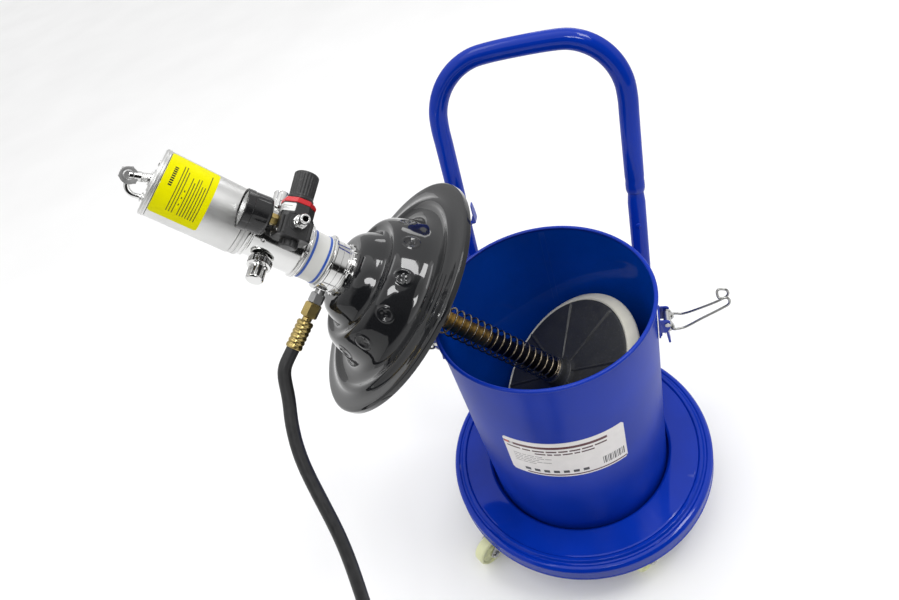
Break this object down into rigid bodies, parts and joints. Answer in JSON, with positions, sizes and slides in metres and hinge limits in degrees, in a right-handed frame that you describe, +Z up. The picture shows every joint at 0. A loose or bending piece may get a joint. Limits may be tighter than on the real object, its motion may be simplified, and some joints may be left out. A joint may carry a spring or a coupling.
{
  "type": "mobile grease pump",
  "caption": "Air-operated grease pump leaning out of an open drum on a round caster cart with a push handle, hose and grease gun.",
  "frame": {"origin": "on the floor, below the middle of the whole outline without the hose and gun", "axes": "+Z up; the push handle is towards +Y, turned about 24 degrees towards +X; the pump unit leans towards -X"},
  "size_m": [0.5574, 0.7164, 0.7423],
  "materials": {
    "drum_blue": "glossy",
    "lid_black": "high gloss",
    "chrome": "polished",
    "aluminium": "satin",
    "steel": "zinc plated",
    "brass": "satin",
    "tube_gold": "yellow passivated",
    "dark_steel": "oiled",
    "rubber": "matt",
    "hose_black": "semi gloss",
    "black_plastic": "moulded",
    "red_plastic": "moulded",
    "white_plastic": "moulded",
    "wheel_cream": "moulded",
    "lens": "clear"
  },
  "bodies": {
    "cart": {"base_pan": "drum_blue", "drum": "drum_blue", "handle_leg_left": "drum_blue", "handle_leg_right": "drum_blue", "handle_bow": "drum_blue", "gun_holder": "drum_blue", "latch_bracket_right": "drum_blue", "latch_bracket_left": "drum_blue", "hose_run": "hose_black", "hose_coil": "hose_black", "hose_tail": "hose_black", "gun_ferrule": "brass", "gun_body": "aluminium", "gun_spout": "chrome"},
    "lever_right": {"latch_lever_right": "steel"},
    "bail_right": {"latch_bail_right": "chrome"},
    "lever_left": {"latch_lever_left": "steel"},
    "bail_left": {"latch_bail_left": "chrome"},
    "pump": {"lid": "lid_black", "lid_gasket": "rubber", "neck_nut": "chrome", "pump_collar": "chrome", "outlet_body": "white_plastic", "valve_cylinder": "chrome", "motor_base": "aluminium", "motor_cylinder": "aluminium", "motor_cap": "aluminium", "lifting_eye": "chrome", "pump_tube": "tube_gold", "lower_tube": "dark_steel", "foot_valve": "steel", "follower_spring": "dark_steel", "silencer_front": "chrome", "silencer_rear": "chrome", "outlet_adaptor": "steel", "hose_nut": "brass", "hose_ferrule": "brass", "regulator_body": "black_plastic", "regulator_ring": "red_plastic", "regulator_nipple": "chrome", "inlet_nipple": "chrome", "gauge_case": "black_plastic", "gauge_dial": "white_plastic", "gauge_lens": "lens"},
    "follower": {"follower_plate": "rubber", "follower_lip": "white_plastic"},
    "piston": {"air_piston": "aluminium", "pump_rod": "steel", "pump_plunger": "steel"},
    "knob": {"regulator_knob": "black_plastic"},
    "needle": {"gauge_needle": "black_plastic"},
    "trigger": {"gun_trigger": "black_plastic"},
    "caster_1": {"caster_fork_1": "steel"},
    "wheel_1": {"caster_wheel_1": "wheel_cream"},
    "caster_2": {"caster_fork_2": "steel"},
    "wheel_2": {"caster_wheel_2": "wheel_cream"},
    "caster_3": {"caster_fork_3": "steel"},
    "wheel_3": {"caster_wheel_3": "wheel_cream"},
    "caster_4": {"caster_fork_4": "steel"},
    "wheel_4": {"caster_wheel_4": "wheel_cream"}
  },
  "joints": [
    {"name": "pump_tilt", "type": "hinge", "parent": "cart", "child": "pump", "pos_m": [-0.10423, 0.02037, 0.22232], "axis": [0.1843, 0.9823, 0.0346], "range_deg": [0, 37.69], "deforming": ["hose_run", "follower_lip"]},
    {"name": "follower_slide", "type": "slide", "parent": "pump", "child": "follower", "axis": [-0.5992, 0.1197, 0.7916], "range_m": [-0.035, 0.06], "deforming": ["follower_spring", "follower_lip"]},
    {"name": "air_piston_slide", "type": "slide", "parent": "pump", "child": "piston", "axis": [-0.5992, 0.1197, 0.7916], "range_m": [-0.011, 0.05]},
    {"name": "regulator_knob_turn", "type": "hinge", "parent": "pump", "child": "knob", "pos_m": [-0.14238, -0.01122, 0.64475], "axis": [-0.5311, -0.7342, -0.423], "range_deg": [0, 720]},
    {"name": "gauge_needle_turn", "type": "hinge", "parent": "pump", "child": "needle", "pos_m": [-0.14238, -0.01122, 0.64475], "axis": [0.6583, -0.0432, -0.7515], "range_deg": [0, 275]},
    {"name": "latch_lever_right_turn", "type": "hinge", "parent": "cart", "child": "lever_right", "pos_m": [0.20989, -0.08142, 0.381], "axis": [0.4163, 0.9092, 0], "range_deg": [-60, 0]},
    {"name": "latch_bail_right_turn", "type": "hinge", "parent": "lever_right", "child": "bail_right", "pos_m": [0.21443, -0.0835, 0.373], "axis": [-0.4163, -0.9092, 0], "range_deg": [-60, 62]},
    {"name": "latch_lever_left_turn", "type": "hinge", "parent": "cart", "child": "lever_left", "pos_m": [-0.05777, 0.02972, 0.381], "axis": [-0.3502, -0.9367, 0], "range_deg": [-60, 0]},
    {"name": "latch_bail_left_turn", "type": "hinge", "parent": "lever_left", "child": "bail_left", "pos_m": [-0.06245, 0.03147, 0.373], "axis": [0.3502, 0.9367, 0], "range_deg": [-60, 62]},
    {"name": "caster_1_swivel", "type": "hinge", "parent": "cart", "child": "caster_1", "pos_m": [0.2323, 0.03753, 0.075], "axis": [0, 0, 1], "continuous": true},
    {"name": "wheel_1_spin", "type": "hinge", "parent": "caster_1", "child": "wheel_1", "pos_m": [0.1998, 0.02203, 0.025], "axis": [0.4305, -0.9026, 0], "continuous": true},
    {"name": "caster_2_swivel", "type": "hinge", "parent": "cart", "child": "caster_2", "pos_m": [0.01946, 0.13319, 0.075], "axis": [0, 0, 1], "continuous": true},
    {"name": "wheel_2_spin", "type": "hinge", "parent": "caster_2", "child": "wheel_2", "pos_m": [-0.01304, 0.11769, 0.025], "axis": [0.4305, -0.9026, 0], "continuous": true},
    {"name": "caster_3_swivel", "type": "hinge", "parent": "cart", "child": "caster_3", "pos_m": [-0.0762, -0.07965, 0.075], "axis": [0, 0, 1], "continuous": true},
    {"name": "wheel_3_spin", "type": "hinge", "parent": "caster_3", "child": "wheel_3", "pos_m": [-0.10869, -0.09515, 0.025], "axis": [0.4305, -0.9026, 0], "continuous": true},
    {"name": "caster_4_swivel", "type": "hinge", "parent": "cart", "child": "caster_4", "pos_m": [0.13664, -0.17531, 0.075], "axis": [0, 0, 1], "continuous": true},
    {"name": "wheel_4_spin", "type": "hinge", "parent": "caster_4", "child": "wheel_4", "pos_m": [0.10415, -0.19081, 0.025], "axis": [0.4305, -0.9026, 0], "continuous": true},
    {"name": "gun_trigger_pull", "type": "hinge", "parent": "cart", "child": "trigger", "pos_m": [0.08125, -0.48166, 0.0137], "axis": [0, 0, -1], "range_deg": [0, 10], "stiffness_Nm_per_rad": 0.3, "springref_deg": -8.59}
  ],
  "couplings": [
    {"joint": "gauge_needle_turn", "follows": "regulator_knob_turn", "ratio": 0.375}
  ]
}
